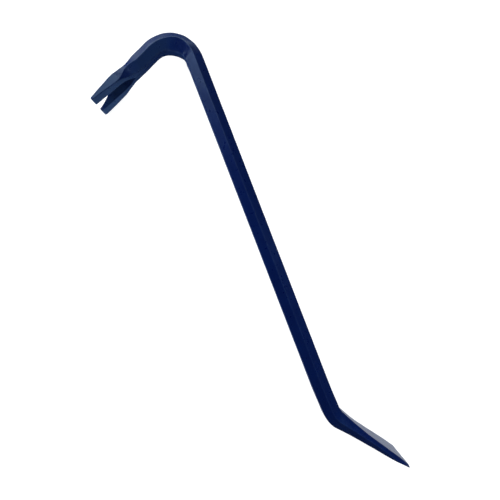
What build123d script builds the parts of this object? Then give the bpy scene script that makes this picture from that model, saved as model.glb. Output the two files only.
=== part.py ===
from build123d import *
import math
import os

# Gooseneck wrecking bar, one forging of hexagonal bar.
# The bar lies on its side. Its bends all lie in the XY plane.
# Working frame: the shaft axis runs along +X from the hook to the chisel heel,
# the hook curls toward -Y and the chisel bends toward +Y.
# Every solid is moved at the end so that the origin is the bottom centre of the whole bar.

# Driving dimensions, in millimetres and degrees
OVERALL_LENGTH = 457.2
ACROSS_FLATS = 16.1
HALF_FLAT = ACROSS_FLATS / 2
HALF_CORNER = ACROSS_FLATS / math.sqrt(3)
HALF_SIDE = HALF_CORNER / 2

HOOK_RADIUS = 25.8
HOOK_TURN = 114.3
CLAW_LENGTH = 72.8

HEEL_RADIUS = 21.0
HEEL_TURN = 38.0
BLADE_LENGTH = 69.5

# A forged section has a back flat, a ridge on each side and an inner flat.
# Each corner is (distance from the middle plane, height above the centreline).
HEX_SECTION = ((HALF_SIDE, HALF_FLAT), (HALF_CORNER, 0.0), (HALF_SIDE, -HALF_FLAT))

# Claw sections, by distance from the tip: back corner, side ridge, inner corner
CLAW_TIP = ((15.8, 0.1), (15.8, -1.9), (15.4, -2.4))
CLAW_CORNER = ((17.4, 0.3), (17.4, -2.3), (17.0, -2.7))
CLAW_MIDDLE = ((16.9, 1.2), (16.6, -3.2), (16.2, -3.6))
CLAW_CROTCH = ((15.5, 2.5), (15.1, -4.0), (14.7, -4.4))
CLAW_SHOULDER = ((14.2, 3.6), (14.0, -4.4), (13.5, -4.9))
CLAW_FLARE = ((9.9, 5.0), (11.0, -0.9), (9.3, -5.6))
CLAW_WAIST = ((6.2, 5.9), (9.0, 2.2), (6.5, -6.2))
CROTCH_FROM_TIP = 21.5
CLAW_STATIONS = (
    (0.0, CLAW_TIP),
    (2.0, CLAW_CORNER),
    (12.0, CLAW_MIDDLE),
    (CROTCH_FROM_TIP, CLAW_CROTCH),
    (29.0, CLAW_SHOULDER),
    (38.0, CLAW_FLARE),
    (45.5, CLAW_WAIST),
    (56.0, HEX_SECTION),
)

# Nail notch: half its width at the back face and at the inner face, at each end
NOTCH_MOUTH = -1.0
NOTCH_MOUTH_BACK = 7.2
NOTCH_MOUTH_INNER = 7.1
NOTCH_CROTCH_BACK = 0.4
NOTCH_CROTCH_INNER = 6.4
NARROW_SHARE = 0.5

# Vee groove behind the crotch: half width, depth, and the height of the inner face there
GROOVE_CROTCH_WEB = 0.05
GROOVE_MIDDLE = 33.0
GROOVE_MIDDLE_HALF = 6.0
GROOVE_MIDDLE_DEPTH = 6.4
GROOVE_MIDDLE_INNER = -5.2
GROOVE_END = 44.5
GROOVE_END_HALF = 1.5
GROOVE_END_DEPTH = 1.0
TOOL_OVERRUN = 3.0

# Chisel sections, by distance from the cutting edge: front corner, side ridge, back corner.
# Near the edge the ridge runs out toward the back.
BLADE_EDGE = ((14.6, 1.0), (16.9, -0.5), (16.4, -1.0))
BLADE_STATIONS = (
    (0.0, BLADE_EDGE),
    (3.0, ((13.9, 1.4), (17.0, -0.8), (16.3, -1.4))),
    (12.0, ((12.8, 2.3), (16.3, -1.0), (15.4, -2.3))),
    (22.0, ((11.8, 3.2), (15.0, 0.2), (12.6, -3.2))),
    (34.0, ((10.0, 4.0), (13.3, 0.9), (10.2, -4.0))),
    (50.0, ((7.2, 5.4), (10.9, 0.8), (7.2, -5.4))),
    (62.0, ((5.3, 6.9), (9.7, 0.3), (5.3, -6.9))),
    (BLADE_LENGTH, HEX_SECTION),
)
EDGE_HALF_THICKNESS = BLADE_EDGE[0][1]


def run_along(turn_degrees):
    """Unit vectors along a straight run and across it, in the XY plane."""
    turn = math.radians(turn_degrees)
    along = Vector(math.cos(turn), math.sin(turn), 0)
    across = Vector(-math.sin(turn), math.cos(turn), 0)
    return along, across


# The hook is followed from the shaft toward the claw, against +X.
claw_backward, claw_across = run_along(HOOK_TURN)
claw_along = -claw_backward
blade_along, blade_across = run_along(HEEL_TURN)

heel_x_reach = (
    HEEL_RADIUS * math.sin(math.radians(HEEL_TURN))
    + BLADE_LENGTH * blade_along.X
    - EDGE_HALF_THICKNESS * blade_across.X
)
SHAFT_LENGTH = OVERALL_LENGTH - HOOK_RADIUS - HALF_FLAT - heel_x_reach

hook_centre = Vector(0, -HOOK_RADIUS, 0)
heel_centre = Vector(SHAFT_LENGTH, HEEL_RADIUS, 0)
claw_start = hook_centre + claw_across * HOOK_RADIUS
blade_start = heel_centre - blade_across * HEEL_RADIUS
claw_tip = claw_start + claw_along * CLAW_LENGTH
blade_tip = blade_start + blade_along * BLADE_LENGTH


def section_at(point, across, corners):
    """A closed face through point. Corners are (sideways, height) pairs."""
    places = [point + across * height + Vector(0, 0, sideways) for sideways, height in corners]
    return make_face(Polyline(*places, close=True))


def both_sides(half):
    """Corners of a whole section from the three corners of its upper half."""
    return list(half) + [(-sideways, height) for sideways, height in reversed(half)]


def loft_stations(faces):
    solids = [loft([near, far], ruled=True) for near, far in zip(faces, faces[1:])]
    joined = solids[0]
    for solid in solids[1:]:
        joined = joined + solid
    return joined


def claw_sections(first, last):
    """Claw sections between two distances from the tip, both included."""
    return [
        section_at(claw_tip - claw_along * distance, claw_across, both_sides(half))
        for distance, half in CLAW_STATIONS
        if first <= distance <= last
    ]


def notch_section(distance, back_half, inner_half, back_height, inner_height):
    """The notch across the claw: narrow at the back face, wide at the inner face."""
    slope = (inner_half - back_half) / (back_height - inner_height)
    wide_half = inner_half + slope * TOOL_OVERRUN
    narrow_half = max(back_half - slope * TOOL_OVERRUN, back_half * NARROW_SHARE)
    corners = [
        (narrow_half, back_height + TOOL_OVERRUN),
        (back_half, back_height),
        (wide_half, inner_height - TOOL_OVERRUN),
        (-wide_half, inner_height - TOOL_OVERRUN),
        (-back_half, back_height),
        (-narrow_half, back_height + TOOL_OVERRUN),
    ]
    return section_at(claw_tip - claw_along * distance, claw_across, corners)


def notch_between_tines():
    tip_back, _, tip_inner = CLAW_TIP
    crotch_back, _, crotch_inner = CLAW_CROTCH
    mouth = notch_section(
        NOTCH_MOUTH, NOTCH_MOUTH_BACK, NOTCH_MOUTH_INNER, tip_back[1], tip_inner[1]
    )
    crotch = notch_section(
        CROTCH_FROM_TIP, NOTCH_CROTCH_BACK, NOTCH_CROTCH_INNER, crotch_back[1], crotch_inner[1]
    )
    return loft([mouth, crotch], ruled=True)


def groove_section(distance, half_width, depth, inner_height):
    """The vee groove behind the crotch, open at the inner face."""
    wide_half = half_width * (1 + TOOL_OVERRUN / depth)
    corners = [
        (0.0, inner_height + depth),
        (wide_half, inner_height - TOOL_OVERRUN),
        (-wide_half, inner_height - TOOL_OVERRUN),
    ]
    return section_at(claw_tip - claw_along * distance, claw_across, corners)


def groove_behind_crotch():
    crotch_back, _, crotch_inner = CLAW_CROTCH
    full_depth = crotch_back[1] - crotch_inner[1] - GROOVE_CROTCH_WEB
    start = groove_section(CROTCH_FROM_TIP, NOTCH_CROTCH_INNER, full_depth, crotch_inner[1])
    middle = groove_section(
        GROOVE_MIDDLE, GROOVE_MIDDLE_HALF, GROOVE_MIDDLE_DEPTH, GROOVE_MIDDLE_INNER
    )
    end = groove_section(GROOVE_END, GROOVE_END_HALF, GROOVE_END_DEPTH, CLAW_WAIST[2][1])
    return loft_stations([start, middle, end])


def claw_tines():
    """The two halves of the claw, parted by the notch: upper first."""
    blank = loft_stations(claw_sections(0, CROTCH_FROM_TIP))
    halves = (blank - notch_between_tines()).solids()
    return sorted(halves, key=lambda solid: -solid.center().Z)


def claw_root():
    return loft_stations(claw_sections(CROTCH_FROM_TIP, CLAW_LENGTH)) - groove_behind_crotch()


def bend(centre, start_face, turn_degrees):
    axis = Axis((centre.X, centre.Y, 0), (0, 0, 1))
    return revolve(start_face, axis=axis, revolution_arc=turn_degrees)


def hex_face(point, across):
    return section_at(point, across, both_sides(HEX_SECTION))


def gooseneck_bend():
    """The round bend and the short straight hexagon that runs on to the claw."""
    root_end = claw_tip - claw_along * CLAW_STATIONS[-1][0]
    curve = bend(hook_centre, hex_face(Vector(0, 0, 0), Vector(0, 1, 0)), HOOK_TURN)
    run_on = loft([hex_face(claw_start, claw_across), hex_face(root_end, claw_across)], ruled=True)
    return curve + run_on


def hex_shaft():
    start = hex_face(Vector(0, 0, 0), Vector(0, 1, 0))
    return extrude(start, amount=SHAFT_LENGTH, dir=(1, 0, 0))


def heel_bend():
    start = hex_face(Vector(SHAFT_LENGTH, 0, 0), Vector(0, 1, 0))
    return bend(heel_centre, start, HEEL_TURN)


def chisel_blade():
    return loft_stations(
        [
            section_at(blade_tip - blade_along * distance, blade_across, both_sides(half))
            for distance, half in BLADE_STATIONS
        ]
    )


def main():
    upper_tine, lower_tine = claw_tines()
    nodes = {
        "claw_tine_upper": upper_tine,
        "claw_tine_lower": lower_tine,
        "claw_root": claw_root(),
        "gooseneck_bend": gooseneck_bend(),
        "hex_shaft": hex_shaft(),
        "heel_bend": heel_bend(),
        "chisel_blade": chisel_blade(),
    }
    whole = Compound(children=[Compound(solid.solids()) for solid in nodes.values()])
    box = whole.bounding_box()
    to_origin = Location((-box.center().X, -box.center().Y, -box.min.Z))
    print("shaft start", (to_origin * Location((0, 0, 0))).position, "shaft length", SHAFT_LENGTH)
    print("whole size", box.size)
    os.makedirs("parts", exist_ok=True)
    for name, solid in nodes.items():
        export_step(to_origin * solid, f"parts/{name}.step")


main()
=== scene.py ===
"""Gooseneck wrecking bar: the visible forging, its paint, and the studio it lies in."""
import math

import bmesh
import bpy
import numpy as np
from mathutils import Matrix, Vector, noise
from mathutils.kdtree import KDTree


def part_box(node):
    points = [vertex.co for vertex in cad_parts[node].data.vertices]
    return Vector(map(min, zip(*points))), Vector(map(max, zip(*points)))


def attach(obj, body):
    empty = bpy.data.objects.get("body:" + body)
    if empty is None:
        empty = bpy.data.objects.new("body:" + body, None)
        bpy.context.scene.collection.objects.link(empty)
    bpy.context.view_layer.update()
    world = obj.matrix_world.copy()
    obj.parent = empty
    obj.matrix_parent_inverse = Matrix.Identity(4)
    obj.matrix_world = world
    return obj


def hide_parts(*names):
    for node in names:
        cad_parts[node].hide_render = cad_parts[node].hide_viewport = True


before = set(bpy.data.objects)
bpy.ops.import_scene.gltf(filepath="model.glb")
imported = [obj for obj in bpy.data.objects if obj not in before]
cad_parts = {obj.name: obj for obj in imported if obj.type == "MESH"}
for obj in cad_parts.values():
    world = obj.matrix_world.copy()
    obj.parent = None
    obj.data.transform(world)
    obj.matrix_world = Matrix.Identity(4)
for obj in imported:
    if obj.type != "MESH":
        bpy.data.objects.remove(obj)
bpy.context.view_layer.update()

# ---------------------------------------------------------------- dimensions, in metres
MM = 0.001
shaft_low, shaft_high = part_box("hex_shaft")
ACROSS_FLATS = shaft_high.y - shaft_low.y
SHAFT_LENGTH = shaft_high.x - shaft_low.x
SHAFT_START = Vector((
    shaft_low.x,
    (shaft_low.y + shaft_high.y) / 2,
    (shaft_low.z + shaft_high.z) / 2,
))
HALF_FLAT = ACROSS_FLATS / 2
HALF_CORNER = ACROSS_FLATS / math.sqrt(3)
HALF_SIDE = HALF_CORNER / 2

HOOK_RADIUS = 25.8 * MM
HOOK_TURN = math.radians(114.3)
CLAW_LENGTH = 72.8 * MM
HEEL_RADIUS = 21.0 * MM
HEEL_TURN = math.radians(38.0)
BLADE_LENGTH = 69.5 * MM
CROTCH = 21.5 * MM
CLAW_ROOT_END = 56.0 * MM

# Finishing sizes, in mm: rounding of the bar's very ends, how much of it shows in the
# outline, and the strip beside the middle plane that the notch leaves behind it
END_ROUNDING = 0.6
END_SHARE = 0.9
LEAST_END_SCALE = 0.12
MIDDLE_STRIP = 1.5
NOTHING = 1e-6
LEAST_RUN = 1e-9

HOOK_ARC = HOOK_RADIUS * HOOK_TURN
HEEL_ARC = HEEL_RADIUS * HEEL_TURN

# Distances along the centreline from the claw's tip to the ends of each zone
HOOK_START = CLAW_LENGTH
HOOK_END = HOOK_START + HOOK_ARC
HEEL_START = HOOK_END + SHAFT_LENGTH
HEEL_END = HEEL_START + HEEL_ARC
TOTAL = HEEL_END + BLADE_LENGTH

# Half sections along the claw, in mm. Each row: distance from the tip, then
# back corner, side ridge, inner corner and notch edge as (sideways, height) pairs,
# then where the notch wall ends as (sideways, height).
SIDE, FLAT, CORNER = HALF_SIDE / MM, HALF_FLAT / MM, HALF_CORNER / MM
CLAW_ROWS = (
    (0.0, (16.9, 0.1), (16.9, -2.1), (16.5, -2.4), (6.9, -2.4), (6.3, 0.1)),
    (2.2, (17.4, 0.2), (17.4, -2.3), (17.1, -2.7), (6.8, -2.7), (6.1, 0.2)),
    (12.0, (16.9, 1.2), (16.6, -3.2), (16.2, -3.6), (6.7, -3.6), (3.5, 1.2)),
    (21.5, (15.5, 2.5), (15.1, -4.0), (14.7, -4.4), (6.4, -4.4), (0.0, 2.5)),
    (29.0, (14.2, 3.6), (14.0, -4.4), (13.5, -4.9), (6.3, -4.9), (0.0, 1.7)),
    (34.0, (12.2, 4.2), (12.6, -3.1), (11.5, -5.3), (5.6, -5.3), (0.0, 0.5)),
    (38.0, (9.9, 5.0), (11.0, -0.9), (9.3, -6.0), (4.4, -6.0), (0.0, -1.8)),
    (44.5, (6.6, 6.0), (9.2, 1.9), (6.7, -6.7), (1.2, -6.7), (0.0, -6.3)),
    (46.5, (6.1, 6.3), (9.1, 2.0), (6.3, -7.0), (MIDDLE_STRIP, -7.0), (0.0, -7.0)),
    (56.0, (SIDE, FLAT), (CORNER, 0.0), (SIDE, -FLAT), (MIDDLE_STRIP, -FLAT), (0.0, -FLAT)),
)

# Chisel, in mm. Each row: distance from the cutting edge, then front corner,
# side ridge and back corner as (sideways, height) pairs
BLADE_ROWS = (
    (0.0, (14.2, 0.9), (17.0, -0.1), (16.4, -0.8)),
    (3.0, (13.7, 1.3), (17.1, -0.4), (16.3, -1.1)),
    (12.0, (12.8, 2.3), (16.3, -0.9), (15.3, -2.1)),
    (22.0, (11.8, 3.2), (15.0, 0.2), (12.6, -3.2)),
    (34.0, (10.0, 4.0), (13.3, 0.9), (10.2, -4.0)),
    (50.0, (7.2, 5.4), (10.9, 0.8), (7.2, -5.4)),
    (62.0, (5.3, 6.9), (9.7, 0.3), (5.3, -6.9)),
    (BLADE_LENGTH / MM, (SIDE, FLAT), (CORNER, 0.0), (SIDE, -FLAT)),
)

# How finely a section is divided, and the limits on the rounding of its corners
EDGE_STEPS = 7
ARC_STEPS = 5
LONGEST_SETBACK = 0.45
LEAST_TANGENT = 1e-3

# The hammering's place in its noise, and how many points it takes to fade in at the middle plane
HAMMER_SEED = Vector((3.1, 7.7, 1.3))
FADE_STEPS = 4

# Rubbing across a corner, with a painted ridge highlight in it, how much of it the plain shaft
# gets, and how far it reaches from the hook, in mm
CORNER_WEAR_AND_HIGHLIGHT = [0.2, 0.7, 1.0, 1.0, 0.7]
ROUNDED_CORNERS = 4
SHAFT_WEAR_AND_HIGHLIGHT = 0.15
WEAR_AND_HIGHLIGHT_REACH = 150
END_WEAR_REACH = 2.5

# Points closer than this are one point, in metres
WELD = 2e-6


# ---------------------------------------------------------------- the forging's shape
def ease_rows(rows, distance):
    """Values between rows, on a smooth curve that doesn't overshoot them."""
    table = np.array([np.hstack([np.ravel(value) for value in row]) for row in rows], float)
    places, values = table[:, 0], table[:, 1:]
    gaps = np.diff(places)[:, None]
    slopes = np.diff(values, axis=0) / gaps
    before, after = slopes[:-1], slopes[1:]
    total = np.where(before + after == 0, 1, before + after)
    inner = np.where(before * after > 0, 2 * before * after / total, 0)
    tangents = np.vstack([slopes[:1], inner, slopes[-1:]])
    index = int(np.clip(np.searchsorted(places, distance) - 1, 0, len(places) - 2))
    gap = places[index + 1] - places[index]
    t = float(np.clip((distance - places[index]) / gap, 0, 1))
    return (
        values[index] * (1 + 2 * t) * (1 - t) ** 2
        + tangents[index] * gap * t * (1 - t) ** 2
        + values[index + 1] * t * t * (3 - 2 * t)
        + tangents[index + 1] * gap * t * t * (t - 1)
    )


def turned_by(angle):
    """Direction and outward side of a line turned by angle from the shaft's."""
    along = Vector((math.cos(angle), math.sin(angle), 0))
    return along, Vector((-along.y, along.x, 0))


def centreline(distance):
    """Point, direction and outward side of the centreline, from the claw's tip."""
    if HOOK_END <= distance < HEEL_START:
        along, across = turned_by(0.0)
        return SHAFT_START + along * (distance - HOOK_END), along, across
    if distance >= HEEL_START:
        along, across = turned_by(min(distance - HEEL_START, HEEL_ARC) / HEEL_RADIUS)
        centre = SHAFT_START + Vector((SHAFT_LENGTH, HEEL_RADIUS, 0))
        overrun = max(distance - HEEL_END, 0)
        return centre - across * HEEL_RADIUS + along * overrun, along, across
    along, across = turned_by(min((HOOK_END - distance) / HOOK_RADIUS, HOOK_TURN))
    centre = SHAFT_START + Vector((0, -HOOK_RADIUS, 0))
    overrun = max(HOOK_START - distance, 0)
    return centre + across * HOOK_RADIUS - along * overrun, along, across


def bump(value, middle, spread):
    """A smooth rise to 1 at middle and back to 0, spread wide."""
    return math.exp(-(((value - middle) / spread) ** 2))


def bent_hexagon(distance):
    """The hexagon, with the metal pushed about where the hook was bent over its tool."""
    turned = math.degrees((HOOK_END - distance) / HOOK_RADIUS)
    back = FLAT + 0.3 * bump(turned, 60, 22) - 0.3 * bump(turned, 9, 11)
    ridge = 2.3 * bump(turned, 48, 27)
    pressed = 0.5 * bump(turned, 22, 9) - 0.4 * bump(turned, 2, 8)
    inner = -FLAT - 0.7 * bump(turned, 56, 20) + pressed
    return [(SIDE, back), (CORNER, ridge), (SIDE, inner), (MIDDLE_STRIP, inner), (0.0, inner)]


def half_corners(distance):
    """The corners of the half section from the back's middle round to the notch wall's end."""
    if distance < CLAW_ROOT_END:
        values = ease_rows(CLAW_ROWS, distance / MM)
        corners = [tuple(pair) for pair in values.reshape(-1, 2)]
    elif distance > HEEL_END:
        values = ease_rows(BLADE_ROWS, (TOTAL - distance) / MM)
        corners = [tuple(pair) for pair in values.reshape(-1, 2)]
        inner_height = corners[-1][1]
        corners += [(MIDDLE_STRIP, inner_height), (0.0, inner_height)]
    else:
        corners = bent_hexagon(distance)
    start = corners[-1] if distance <= CROTCH else (0.0, corners[0][1])
    return [start] + corners


def corner_radii(distance):
    """Rounding of the back corner, side ridge, inner corner and notch edge, in mm."""
    if distance < CLAW_ROOT_END:
        blend = distance / CLAW_ROOT_END
        return (0.5 + 0.6 * blend, 0.5 + 0.3 * blend, 0.4 + 0.7 * blend, 0.45)
    if distance > HEEL_END:
        blend = (TOTAL - distance) / BLADE_LENGTH
        return (0.35 + 0.75 * blend, 0.4 + 0.4 * blend, 0.35 + 0.75 * blend, 0.3)
    return (1.1, 0.8, 1.1, 0.3)


def round_polyline(corners, radii):
    """Evenly divided straight runs and rounded corners, always with the same number of points."""
    corners = [np.array(corner, float) for corner in corners]
    points, last = [], corners[0]
    for index, radius in enumerate(radii, start=1):
        corner = corners[index]
        back, onward = corners[index - 1] - corner, corners[index + 1] - corner
        back_length, onward_length = np.linalg.norm(back), np.linalg.norm(onward)
        back, onward = back / back_length, onward / onward_length
        half_angle = 0.5 * math.acos(float(np.clip(back @ onward, -1, 1)))
        room = LONGEST_SETBACK * min(back_length, onward_length)
        setback = min(radius / max(math.tan(half_angle), LEAST_TANGENT), room)
        enter, leave = corner + back * setback, corner + onward * setback
        points += [last + (enter - last) * step / EDGE_STEPS for step in range(EDGE_STEPS)]
        for step in range(ARC_STEPS):
            t = step / ARC_STEPS
            points.append(enter * (1 - t) ** 2 + corner * 2 * t * (1 - t) + leave * t * t)
        last = leave
    points += [last + (corners[-1] - last) * step / EDGE_STEPS for step in range(EDGE_STEPS + 1)]
    return np.array(points)


def row_distances():
    """Where the sections lie: close together where the shape changes, wider on the shaft."""
    spans = (
        (0.0, END_ROUNDING, 3),
        (END_ROUNDING, CROTCH / MM, 32),
        (CROTCH / MM, CLAW_ROOT_END / MM, 50),
        (CLAW_ROOT_END / MM, HOOK_START / MM, 14),
        (HOOK_START / MM, HOOK_END / MM, 64),
        (HOOK_END / MM, HEEL_START / MM, 150),
        (HEEL_START / MM, HEEL_END / MM, 20),
        (HEEL_END / MM, TOTAL / MM - END_ROUNDING, 64),
        (TOTAL / MM - END_ROUNDING, TOTAL / MM, 3),
    )
    places = [np.linspace(low, high, count, endpoint=False) for low, high, count in spans]
    return np.append(np.concatenate(places), TOTAL / MM) * MM


def end_rounding(distance):
    """How far, in mm, the section draws in at the claw's and the chisel's very ends."""
    inward = min(distance, TOTAL - distance) / MM
    if inward >= END_ROUNDING:
        return 0.0
    return END_ROUNDING - math.sqrt(max(END_ROUNDING**2 - (END_ROUNDING - inward) ** 2, 0))


def draw_in(points, amount):
    """Moves a section's outline inward by amount, in mm."""
    if amount == 0:
        return points
    middle = (points.max(0) + points.min(0)) / 2
    reach = (points.max(0) - points.min(0)) / 2
    scale = np.maximum(1 - amount * END_SHARE / np.maximum(reach, NOTHING), LEAST_END_SCALE)
    return middle + (points - middle) * scale


def half_row(distance):
    """A half section's outline, in mm. Beyond the crotch it stays on the middle plane."""
    points = round_polyline(half_corners(distance), corner_radii(distance))
    amount = end_rounding(distance)
    outline = draw_in(points, amount)
    if distance > CROTCH:
        scale = 1 - amount * END_SHARE / max(points[:, 0].max(), NOTHING)
        outline = np.stack([points[:, 0] * scale, outline[:, 1]], axis=1)
    return outline


def outward_sides(points):
    """The outward direction at each point of a half section."""
    run = np.gradient(points, axis=0)
    length = np.maximum(np.linalg.norm(run, axis=1), LEAST_RUN)
    return np.stack([run[:, 1], -run[:, 0]], axis=1) / length[:, None]


def hammering(distance, place):
    """How far the forged surface stands above or below its true shape, in mm."""
    worked = 1.0 if distance < HOOK_END or distance > HEEL_START else 0.35
    broad = noise.noise(place / (9 * MM) + HAMMER_SEED)
    middling = noise.noise(place / (3.5 * MM) + HAMMER_SEED)
    return worked * (0.16 * broad + 0.07 * middling)


def straying(distance):
    """How far the hand-fed bar lies off its true line, across it, in mm."""
    past_heel = (distance - HEEL_START) / MM
    before_shaft = (HOOK_END - distance) / MM
    at_hook = 0.35 * bump(before_shaft, 55, 28)
    return 0.7 * bump(past_heel, 1, 13) - 0.6 * bump(past_heel, 46, 28) - at_hook


def nick(place):
    """A small dent that the bending tool left at the inside of the hook, in mm."""
    turn = math.radians(20)
    radius = HOOK_RADIUS - HALF_FLAT * 0.8
    along, across = -radius * math.sin(turn), radius * math.cos(turn) - HOOK_RADIUS
    centre = SHAFT_START + Vector((along, across, HALF_SIDE * 1.25))
    return -0.5 * bump((place - centre).length / MM, 0, 1.7)


def place_row(distance, points):
    """The section's points in space, with the forging's slight unevenness."""
    point, _, across = centreline(distance)
    point = point + across * (straying(distance) * MM)
    outward = outward_sides(points)
    last = len(points) - 1
    placed = []
    for index, (sideways, height) in enumerate(points):
        place = point + across * (height * MM) + Vector((0, 0, sideways * MM))
        fade = min(index, last - index, FADE_STEPS) / FADE_STEPS
        rise = (hammering(distance, place) * fade + nick(place)) * MM
        side, up = outward[index]
        placed.append(place + across * (up * rise) + Vector((0, 0, side * rise)))
    return placed


def build_forging():
    """The whole bar as rows of points: the upper half, and its mirror image below."""
    distances = row_distances()
    sections = [half_row(distance) for distance in distances]
    upper = [place_row(d, s) for d, s in zip(distances, sections)]
    lower = [place_row(d, s * np.array([-1, 1])) for d, s in zip(distances, sections)]
    return distances, upper, lower


# ---------------------------------------------------------------- pieces
def edge_wear_and_highlight(distance):
    """How much rubbed paint and painted ridge highlight a section's points get: most on the hook's
    corners and at the ends.
    """
    around = ([0.0] * EDGE_STEPS + CORNER_WEAR_AND_HIGHLIGHT) * ROUNDED_CORNERS + [0.0] * (EDGE_STEPS + 1)
    past_hook = max(distance - HOOK_END, 0) / MM
    # The lighter corners fade along the shaft from the hook: partly rubbed paint, partly a painted
    # ridge highlight
    highlight_and_wear_share = SHAFT_WEAR_AND_HIGHLIGHT + (1 - SHAFT_WEAR_AND_HIGHLIGHT) * bump(past_hook, 0, WEAR_AND_HIGHLIGHT_REACH)
    at_end = bump(min(distance, TOTAL - distance) / MM, 0, END_WEAR_REACH)
    return [max(value * highlight_and_wear_share, at_end) for value in around]


def grid_mesh(distances, rows_upper, rows_lower):
    """An open bmesh of the rows of the upper half, the lower half, or both, welded together."""
    mesh = bmesh.new()
    wear_and_highlight = mesh.verts.layers.float.new("edge_wear_and_highlight")
    for rows, flip in ((rows_upper, False), (rows_lower, True)):
        if rows is None:
            continue
        grid = []
        for distance, row in zip(distances, rows):
            grid.append([mesh.verts.new(place) for place in row])
            for vertex, value in zip(grid[-1], edge_wear_and_highlight(distance)):
                vertex[wear_and_highlight] = value
        for near, far in zip(grid, grid[1:]):
            for index in range(len(near) - 1):
                ring = [near[index], near[index + 1], far[index + 1], far[index]]
                mesh.faces.new(ring if not flip else ring[::-1])
    bmesh.ops.remove_doubles(mesh, verts=mesh.verts, dist=WELD)
    return mesh


def close_ends(mesh):
    """Fills a zone's open ends and turns its faces outward."""
    edges = [edge for edge in mesh.edges if edge.is_boundary]
    bmesh.ops.holes_fill(mesh, edges=edges, sides=0)
    bmesh.ops.recalc_face_normals(mesh, faces=mesh.faces)


def whole_normals(distances, upper, lower):
    """Looks up the undivided bar's surface normal at a point."""
    mesh = grid_mesh(distances, upper, lower)
    close_ends(mesh)
    mesh.normal_update()
    mesh.verts.ensure_lookup_table()
    tree = KDTree(len(mesh.verts))
    for vertex in mesh.verts:
        tree.insert(vertex.co, vertex.index)
    tree.balance()
    normals = [vertex.normal.copy() for vertex in mesh.verts]
    mesh.free()
    return lambda place: normals[tree.find(place)[1]]


def zone_mesh(name, distances, rows_upper, rows_lower, normal_at):
    """A closed mesh of one zone, which shades as part of the undivided bar."""
    mesh = grid_mesh(distances, rows_upper, rows_lower)
    close_ends(mesh)
    data = bpy.data.meshes.new(name)
    mesh.to_mesh(data)
    mesh.free()
    data.shade_smooth()
    smooth = [normal_at(vertex.co) for vertex in data.vertices]
    normals = [Vector((0, 0, 0))] * len(data.loops)
    for face in data.polygons:
        is_cut = len(face.vertices) > 4
        for loop in face.loop_indices:
            normals[loop] = face.normal if is_cut else smooth[data.loops[loop].vertex_index]
    data.normals_split_custom_set([tuple(normal) for normal in normals])
    return data


def make_pieces():
    """One visible piece for each zone of the bar."""
    distances, upper, lower = build_forging()
    zones = (
        ("claw_tine_upper", 0.0, CROTCH, True, False),
        ("claw_tine_lower", 0.0, CROTCH, False, True),
        ("claw_root", CROTCH, CLAW_ROOT_END, True, True),
        ("gooseneck_bend", CLAW_ROOT_END, HOOK_END, True, True),
        ("hex_shaft", HOOK_END, HEEL_START, True, True),
        ("heel_bend", HEEL_START, HEEL_END, True, True),
        ("chisel_blade", HEEL_END, TOTAL, True, True),
    )
    normal_at = whole_normals(distances, upper, lower)
    pieces = []
    slack = 1e-7
    for node, low, high, has_upper, has_lower in zones:
        first = int(np.searchsorted(distances, low - slack))
        last = int(np.searchsorted(distances, high - slack))
        span = slice(first, last + 1)
        data = zone_mesh(
            node + "_forging",
            distances[span],
            upper[span] if has_upper else None,
            lower[span] if has_lower else None,
            normal_at,
        )
        piece = bpy.data.objects.new(node + "_forging", data)
        bpy.context.scene.collection.objects.link(piece)
        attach(piece, "root")
        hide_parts(node)
        pieces.append(piece)
    return pieces


# ---------------------------------------------------------------- materials
DEEP_BLUE = (0.0001, 0.0030, 0.040, 1)
LIVELY_BLUE = (0.0002, 0.0046, 0.048, 1)
SPECK_BLUE = (0.001, 0.010, 0.08, 1)
SCRATCH_BLUE = (0.018, 0.04, 0.12, 1)
# Lighter blue on the corners: partly rubbed paint, partly a painted ridge highlight
RUBBED_AND_HIGHLIGHT_BLUE = (0.045, 0.075, 0.14, 1)
BLUE_SHEEN = (0.5, 0.78, 1.0, 1)
SCRATCH_STRETCH = (0.10, 1.0, 0.45)
SCRATCH_TURN = (0.2, 0.15, 0.5)


def new_material(name):
    """A material with its nodes, its links and its shader."""
    material = bpy.data.materials.new(name)
    material.use_nodes = True
    tree = material.node_tree
    return material, tree.nodes, tree.links, tree.nodes["Principled BSDF"]


def add_noise(nodes, links, coordinates, scale, detail=2.0, roughness=0.5):
    texture = nodes.new("ShaderNodeTexNoise")
    texture.inputs["Scale"].default_value = scale
    texture.inputs["Detail"].default_value = detail
    texture.inputs["Roughness"].default_value = roughness
    links.new(coordinates, texture.inputs["Vector"])
    return texture.outputs["Fac"]


def add_range(nodes, links, value, from_low, from_high, to_low, to_high):
    mapped = nodes.new("ShaderNodeMapRange")
    mapped.interpolation_type = "SMOOTHSTEP"
    mapped.inputs["From Min"].default_value = from_low
    mapped.inputs["From Max"].default_value = from_high
    mapped.inputs["To Min"].default_value = to_low
    mapped.inputs["To Max"].default_value = to_high
    links.new(value, mapped.inputs["Value"])
    return mapped.outputs["Result"]


def add_math(nodes, links, operation, first, second):
    node = nodes.new("ShaderNodeMath")
    node.operation = operation
    for socket, value in zip(node.inputs, (first, second)):
        if isinstance(value, (int, float)):
            socket.default_value = value
        else:
            links.new(value, socket)
    return node.outputs["Value"]


def add_mix(nodes, links, factor, first, second):
    mix = nodes.new("ShaderNodeMix")
    mix.data_type = "RGBA"
    links.new(factor, mix.inputs["Factor"])
    for socket, value in zip((mix.inputs[6], mix.inputs[7]), (first, second)):
        if isinstance(value, tuple):
            socket.default_value = value
        else:
            links.new(value, socket)
    return mix.outputs[2]


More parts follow.
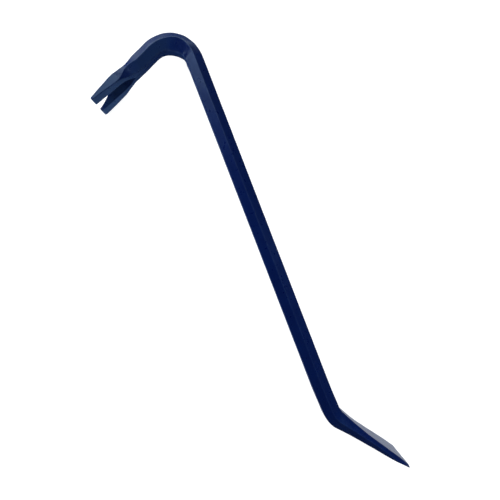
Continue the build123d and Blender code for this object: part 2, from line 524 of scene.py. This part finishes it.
def navy_paint():
    """Gloss navy paint on forged steel: mottled, orange-peeled, scratched, rubbed at its edges and
    lightened there with a painted ridge highlight.
    """
    material, nodes, links, shader = new_material("navy_paint")
    coordinates = nodes.new("ShaderNodeTexCoord").outputs["Object"]
    stretched = nodes.new("ShaderNodeMapping")
    stretched.inputs["Scale"].default_value = SCRATCH_STRETCH
    stretched.inputs["Rotation"].default_value = SCRATCH_TURN
    links.new(coordinates, stretched.inputs["Vector"])

    cloud = add_noise(nodes, links, coordinates, 70, 3)
    grain = add_noise(nodes, links, coordinates, 1100, 3, 0.6)
    peel = add_noise(nodes, links, coordinates, 520, 2)
    forge_scale = add_noise(nodes, links, coordinates, 190, 4, 0.6)
    scratches = add_noise(nodes, links, stretched.outputs["Vector"], 1500, 2, 0.4)

    clouds = add_range(nodes, links, cloud, 0.2, 0.8, 0, 1)
    mottled = add_mix(nodes, links, clouds, DEEP_BLUE, LIVELY_BLUE)
    speck = add_range(nodes, links, grain, 0.54, 0.74, 0, 0.4)
    speckled = add_mix(nodes, links, speck, mottled, SPECK_BLUE)
    scratched_places = add_range(nodes, links, cloud, 0.48, 0.62, 0, 0.3)
    scratch_lines = add_range(nodes, links, scratches, 0.66, 0.74, 0, 1)
    scratch = add_math(nodes, links, "MULTIPLY", scratch_lines, scratched_places)
    scratched = add_mix(nodes, links, scratch, speckled, SCRATCH_BLUE)

    # Lighter corners, strongest by the hook: partly rubbed paint, partly a painted ridge highlight
    wear_and_highlight = nodes.new("ShaderNodeAttribute")
    wear_and_highlight.attribute_name = "edge_wear_and_highlight"
    patches = add_range(nodes, links, forge_scale, 0.42, 0.64, 0.14, 0.32)
    rub_and_highlight = add_math(nodes, links, "MULTIPLY", wear_and_highlight.outputs["Fac"], patches)
    painted = add_mix(nodes, links, rub_and_highlight, scratched, RUBBED_AND_HIGHLIGHT_BLUE)
    links.new(painted, shader.inputs["Base Color"])

    gloss = add_range(nodes, links, forge_scale, 0.3, 0.7, 0.27, 0.31)
    dull_scratch = add_math(nodes, links, "MULTIPLY", scratch, 0.9)
    dulled = add_math(nodes, links, "MAXIMUM", gloss, dull_scratch)
    links.new(add_math(nodes, links, "MAXIMUM", dulled, rub_and_highlight), shader.inputs["Roughness"])
    shader.inputs["Specular Tint"].default_value = BLUE_SHEEN

    scale_height = add_math(nodes, links, "MULTIPLY", forge_scale, 0.25)
    scratch_depth = add_math(nodes, links, "MULTIPLY", scratch, 0.07)
    height = add_math(nodes, links, "ADD", scale_height, peel)
    height = add_math(nodes, links, "SUBTRACT", height, scratch_depth)
    relief = nodes.new("ShaderNodeBump")
    relief.inputs["Strength"].default_value = 0.3
    relief.inputs["Distance"].default_value = 0.00012
    links.new(height, relief.inputs["Height"])
    links.new(relief.outputs["Normal"], shader.inputs["Normal"])
    return material


# ---------------------------------------------------------------- studio
SHEET_REACH = 8.0
SURROUNDINGS_GLOW = 0.92
FLOOR_GREY = 0.3
CARD_DEPTH = 0.0005
# The card's painted reflection of the floor: painted shadow inside the hook, painted light by the
# claw tip and round the chisel
CARD_SHADOW_INSIDE_HOOK = (0.05, 0.12, 0.34, 1)
CARD_LIGHT_BY_CLAW = (0.26, 0.48, 0.85, 1)
CARD_LIGHT_BY_CHISEL = (0.76, 0.81, 0.93, 1)


def staged(name, mesh, hidden_from):
    """A stage object made from a bmesh, which the rays named in hidden_from pass by."""
    data = bpy.data.meshes.new(name)
    mesh.to_mesh(data)
    mesh.free()
    thing = bpy.data.objects.new(name, data)
    bpy.context.scene.collection.objects.link(thing)
    for kind in hidden_from:
        setattr(thing, "visible_" + kind, False)
    return thing


def flat_sheet(name, height, hidden_from):
    """A wide level disc."""
    mesh = bmesh.new()
    bmesh.ops.create_circle(mesh, cap_ends=True, segments=64, radius=SHEET_REACH)
    bmesh.ops.translate(mesh, verts=mesh.verts, vec=(0, 0, height))
    return staged(name, mesh, hidden_from)


def glowing_white(name, grey):
    """A matt surface that gives off most of its light itself. No light is sampled from it."""
    material, _, _, shader = new_material(name)
    shader.inputs["Base Color"].default_value = (grey, grey, grey, 1)
    shader.inputs["Roughness"].default_value = 0.9
    shader.inputs["Specular IOR Level"].default_value = 0.0
    shader.inputs["Emission Color"].default_value = (1, 1, 1, 1)
    shader.inputs["Emission Strength"].default_value = SURROUNDINGS_GLOW
    material.cycles.emission_sampling = "NONE"
    return material


def make_floor():
    """A plain white floor, lit so evenly that it shows hardly any shadow."""
    floor = flat_sheet("floor", 0.0, ["glossy"])
    floor.data.materials.append(glowing_white("floor", FLOOR_GREY))


def make_sky():
    """The white surroundings, far off, that only the camera sees."""
    mesh = bmesh.new()
    bmesh.ops.create_uvsphere(mesh, u_segments=48, v_segments=24, radius=SHEET_REACH * 0.98)
    sky = staged("sky", mesh, ["diffuse", "glossy", "shadow", "transmission"])
    sky.data.materials.append(glowing_white("sky", 0))


def make_reflection_card():
    """What the gloss paint mirrors below it: a painted floor, with painted shadow in dim blue
    inside the hook and painted light, pale, by the claw and round the chisel.
    """
    hidden_from = ["camera", "diffuse", "shadow", "transmission"]
    card = flat_sheet("reflection_card", -CARD_DEPTH, hidden_from)
    material = bpy.data.materials.new("reflection_card")
    material.use_nodes = True
    nodes, links = material.node_tree.nodes, material.node_tree.links
    nodes.clear()
    coordinates = nodes.new("ShaderNodeTexCoord").outputs["Object"]

    def near(centre, full, none):
        """1 within the distance full of centre, and 0 beyond the distance none."""
        reach = nodes.new("ShaderNodeVectorMath")
        reach.operation = "DISTANCE"
        links.new(coordinates, reach.inputs[0])
        reach.inputs[1].default_value = centre
        return add_range(nodes, links, reach.outputs["Value"], full, none, 1, 0)

    claw_tip = centreline(0.0)[0]
    blade_front = centreline(TOTAL - BLADE_LENGTH * 0.4)[0] + Vector((0, 0.03, 0))
    lit_around_claw = near(claw_tip, 0.02, 0.08)
    lit_around_blade = near(blade_front, 0.055, 0.11)
    # Painted shadow inside the hook, painted light by the claw tip and round the chisel
    shadow_and_light_by_claw = add_mix(nodes, links, lit_around_claw, CARD_SHADOW_INSIDE_HOOK, CARD_LIGHT_BY_CLAW)
    painted_floor_light_and_shadow = add_mix(nodes, links, lit_around_blade, shadow_and_light_by_claw, CARD_LIGHT_BY_CHISEL)
    glow = nodes.new("ShaderNodeEmission")
    links.new(painted_floor_light_and_shadow, glow.inputs["Color"])
    output = nodes.new("ShaderNodeOutputMaterial")
    links.new(glow.outputs["Emission"], output.inputs["Surface"])
    material.cycles.emission_sampling = "NONE"
    card.data.materials.append(material)


def make_light(name, place, target, size, radiance, colour, mirrored):
    """A soft rectangular lamp, given by how bright its face looks."""
    width, height = size
    data = bpy.data.lights.new(name, "AREA")
    data.shape = "RECTANGLE"
    data.size, data.size_y = size
    data.energy = radiance * math.pi * width * height
    data.color = colour
    light = bpy.data.objects.new(name, data)
    light.location = place
    light.rotation_euler = (Vector(target) - Vector(place)).to_track_quat("-Z", "Y").to_euler()
    light.visible_glossy = mirrored
    bpy.context.scene.collection.objects.link(light)


# The camera looks straight down. The picture's right and up, as directions of the frame
IMAGE_RIGHT = Vector((0.3605, 0.9328, 0)).normalized()
IMAGE_UP = Vector((-0.9328, 0.3605, 0)).normalized()
CAMERA_FROM_SHAFT_START = Vector((174.0, -36.4, 311.1)) * MM


def make_camera():
    data = bpy.data.cameras.new("camera")
    camera = bpy.data.objects.new("camera", data)
    data.lens = 23.4
    data.sensor_width = 36
    data.shift_x, data.shift_y = 0.0497, -0.011
    data.clip_start, data.clip_end = 0.01, 20
    place = SHAFT_START + CAMERA_FROM_SHAFT_START
    turn = Matrix((IMAGE_RIGHT, IMAGE_UP, Vector((0, 0, 1)))).transposed()
    camera.matrix_world = Matrix.Translation(place) @ turn.to_4x4()
    bpy.context.scene.collection.objects.link(camera)
    bpy.context.scene.camera = camera


def make_sun():
    """A weak, wide sun, nearly overhead."""
    data = bpy.data.lights.new("overhead", "SUN")
    data.energy = 0.95
    data.angle = math.radians(25)
    sun = bpy.data.objects.new("overhead", data)
    sun.rotation_euler = (math.radians(8), math.radians(-6), 0)
    sun.visible_glossy = False
    bpy.context.scene.collection.objects.link(sun)


# Lamps: name, target, place from the target as picture right, picture up and height,
# width and length, radiance, colour, and whether the paint mirrors them
LAMPS = (
    ("high_panel", "hook", (-0.32, 0.74, 1.0), (1.2, 1.0), 2.4, (0.9, 0.95, 1.0), True),
    ("backdrop", "hook", (-0.3, 1.3, 0.05), (1.9, 0.9), 2.1, (0.85, 0.92, 1.0), True),
    ("left_panel", "hook", (-0.8, 0.38, 0.5), (0.5, 0.4), 2.6, (0.9, 0.93, 1.0), True),
    ("high_right", "hook", (0.35, -0.25, 0.87), (1.2, 0.9), 0.5, (0.5, 0.75, 1.0), True),
    ("shaft_lamp", "middle", (-0.4, 0.12, 0.1), (0.2, 0.15), 13.0, (1.0, 1.0, 1.0), False),
    ("heel_lamp", "heel", (0.17, 0.2, 0.19), (0.12, 0.12), 9.0, (1.0, 1.0, 1.0), False),
)


def make_studio():
    """The view settings, the world and all the lights."""
    scene = bpy.context.scene
    scene.view_settings.view_transform = "Standard"
    world = bpy.data.worlds.new("studio")
    scene.world = world
    world.use_nodes = True
    background = world.node_tree.nodes["Background"]
    background.inputs["Color"].default_value = (0.55, 0.8, 1.0, 1)
    background.inputs["Strength"].default_value = 0.1
    make_sun()
    targets = {
        "hook": SHAFT_START,
        "middle": SHAFT_START + Vector((SHAFT_LENGTH * 0.5, 0, 0)),
        "heel": SHAFT_START + Vector((SHAFT_LENGTH, 0, 0)),
    }
    for name, aim, (right, up, height), size, radiance, colour, mirrored in LAMPS:
        target = targets[aim]
        place = target + IMAGE_RIGHT * right + IMAGE_UP * up + Vector((0, 0, height))
        make_light(name, place, target, size, radiance, colour, mirrored)


paint = navy_paint()
for piece in make_pieces():
    piece.data.materials.append(paint)
make_floor()
make_sky()
make_reflection_card()
make_studio()
make_camera()
